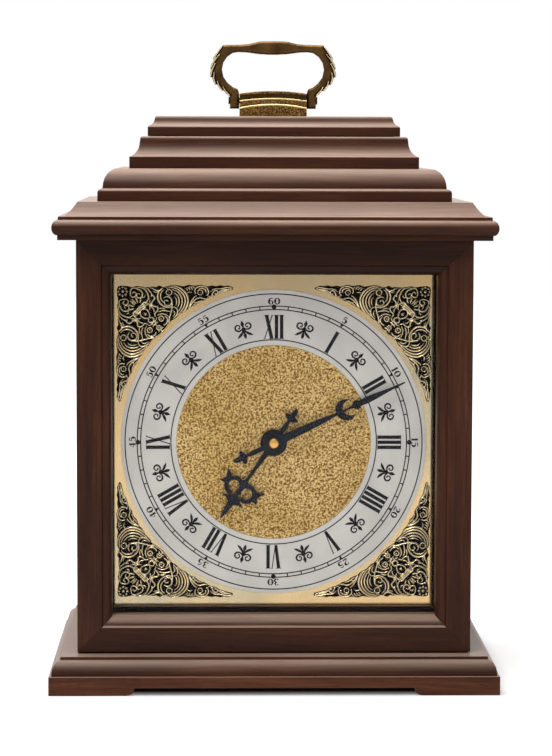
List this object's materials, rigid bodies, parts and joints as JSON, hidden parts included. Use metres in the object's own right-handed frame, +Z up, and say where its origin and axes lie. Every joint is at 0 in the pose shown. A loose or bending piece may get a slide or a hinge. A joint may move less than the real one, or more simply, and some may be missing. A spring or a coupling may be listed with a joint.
{
  "type": "bracket clock",
  "caption": "Mahogany bracket clock with a stepped roof and carrying handle, a glazed front door over a square brass dial, a rear door and a battery movement.",
  "frame": {"origin": "middle of the plinth's footprint, on the surface the clock stands on", "axes": "+Z up, dial and front door face -Y, +X to the right seen from the front"},
  "size_m": [0.273, 0.194, 0.3961],
  "materials": {
    "mahogany": "satin lacquer over dark red-brown stain",
    "beech": "planed, unfinished",
    "brass": "polished and lacquered",
    "antique_brass": "cast, darkened, rubbed bright on the edges",
    "silvered_brass": "silvered, fine circular brushing, black print",
    "matted_gold": "finely matted gilding",
    "blued_steel": "blue-black, semi-gloss",
    "steel": "plain, nickel plated",
    "glass": "clear, flat",
    "black_plastic": "fine moulded texture",
    "white_plastic": "moulded, smooth",
    "copper": "enamelled copper wire winding",
    "circuit_board": "green solder mask with black parts",
    "battery_jacket": "plain printed sleeve, no lettering"
  },
  "bodies": {
    "case": {"plinth_front": "mahogany", "plinth_back": "mahogany", "plinth_left": "mahogany", "plinth_right": "mahogany", "base_board": "mahogany", "side_left": "mahogany", "side_right": "mahogany", "dial_batten_left": "beech", "dial_batten_right": "beech", "cornice_board": "mahogany", "roof_step_lower": "mahogany", "roof_step_middle": "mahogany", "roof_step_upper": "mahogany", "door_pivot_top": "brass", "door_pivot_bottom": "brass", "rear_door_pivot_top": "brass", "rear_door_pivot_bottom": "brass", "magnet_catch": "steel", "handle_block": "antique_brass", "handle_pin_left": "antique_brass", "handle_pin_right": "antique_brass", "dial_plate": "brass", "chapter_ring": "silvered_brass", "dial_centre": "matted_gold", "spandrel_top_left": "brass", "spandrel_top_right": "brass", "spandrel_bottom_left": "brass", "spandrel_bottom_right": "brass", "movement_housing": "black_plastic", "movement_cover": "black_plastic", "bush_nut": "brass", "battery": "battery_jacket", "circuit_board": "circuit_board", "motor_coil": "copper", "stator": "steel"},
    "front_door": {"door_stile_left": "mahogany", "door_stile_right": "mahogany", "door_rail_top": "mahogany", "door_rail_bottom": "mahogany", "door_glass": "glass", "glazing_bead_top": "mahogany", "glazing_bead_bottom": "mahogany", "glazing_bead_left": "mahogany", "glazing_bead_right": "mahogany", "strike_plate": "steel"},
    "rear_door": {"rear_door": "mahogany", "rear_door_knob": "brass"},
    "handle": {"handle_bail": "antique_brass"},
    "minute_hand": {"minute_hand": "blued_steel", "hand_nut": "brass", "centre_arbor": "brass"},
    "hour_hand": {"hour_hand": "blued_steel", "hour_wheel": "white_plastic"},
    "motion_wheel": {"motion_wheel": "white_plastic"},
    "setting_knob": {"setting_knob": "black_plastic"},
    "third_wheel": {"third_wheel": "white_plastic"},
    "second_wheel": {"second_wheel": "white_plastic"},
    "step_wheel": {"step_wheel": "white_plastic"},
    "rotor": {"rotor": "steel"}
  },
  "joints": [
    {"name": "front_door_hinge", "type": "hinge", "parent": "case", "child": "front_door", "pos_m": [0.11575, -0.06525, 0.15], "axis": [0, 0, 1], "range_deg": [0, 90]},
    {"name": "rear_door_hinge", "type": "hinge", "parent": "case", "child": "rear_door", "pos_m": [0.11575, 0.07225, 0.15], "axis": [0, 0, -1], "range_deg": [0, 90]},
    {"name": "handle_pivot", "type": "hinge", "parent": "case", "child": "handle", "pos_m": [0, 0, 0.3591], "axis": [1, 0, 0], "range_deg": [-100, 100]},
    {"name": "minute_turn", "type": "hinge", "parent": "case", "child": "minute_hand", "pos_m": [0, -0.05, 0.14895], "axis": [0, 1, 0], "continuous": true},
    {"name": "hour_turn", "type": "hinge", "parent": "case", "child": "hour_hand", "pos_m": [0, -0.05, 0.14895], "axis": [0, 1, 0], "continuous": true},
    {"name": "motion_turn", "type": "hinge", "parent": "case", "child": "motion_wheel", "pos_m": [0.006, -0.04, 0.15934], "axis": [0, 1, 0], "continuous": true},
    {"name": "setting_knob_turn", "type": "hinge", "parent": "case", "child": "setting_knob", "pos_m": [0.01782, -0.04, 0.16143], "axis": [0, 1, 0], "continuous": true},
    {"name": "third_turn", "type": "hinge", "parent": "case", "child": "third_wheel", "pos_m": [-0.01015, -0.04, 0.15264], "axis": [0, 1, 0], "continuous": true},
    {"name": "second_turn", "type": "hinge", "parent": "case", "child": "second_wheel", "pos_m": [-0.01165, -0.04, 0.16118], "axis": [0, 1, 0], "continuous": true},
    {"name": "step_turn", "type": "hinge", "parent": "case", "child": "step_wheel", "pos_m": [-0.00489, -0.04, 0.16364], "axis": [0, 1, 0], "continuous": true},
    {"name": "rotor_turn", "type": "hinge", "parent": "case", "child": "rotor", "pos_m": [-0.00216, -0.04, 0.16837], "axis": [0, 1, 0], "continuous": true}
  ],
  "couplings": [
    {"joint": "hour_turn", "follows": "minute_turn", "ratio": 0.083333},
    {"joint": "motion_turn", "follows": "minute_turn", "ratio": -0.33333},
    {"joint": "setting_knob_turn", "follows": "minute_turn", "ratio": 1},
    {"joint": "third_turn", "follows": "minute_turn", "ratio": -8},
    {"joint": "second_turn", "follows": "minute_turn", "ratio": 60},
    {"joint": "step_turn", "follows": "minute_turn", "ratio": -300},
    {"joint": "rotor_turn", "follows": "minute_turn", "ratio": 1800}
  ]
}
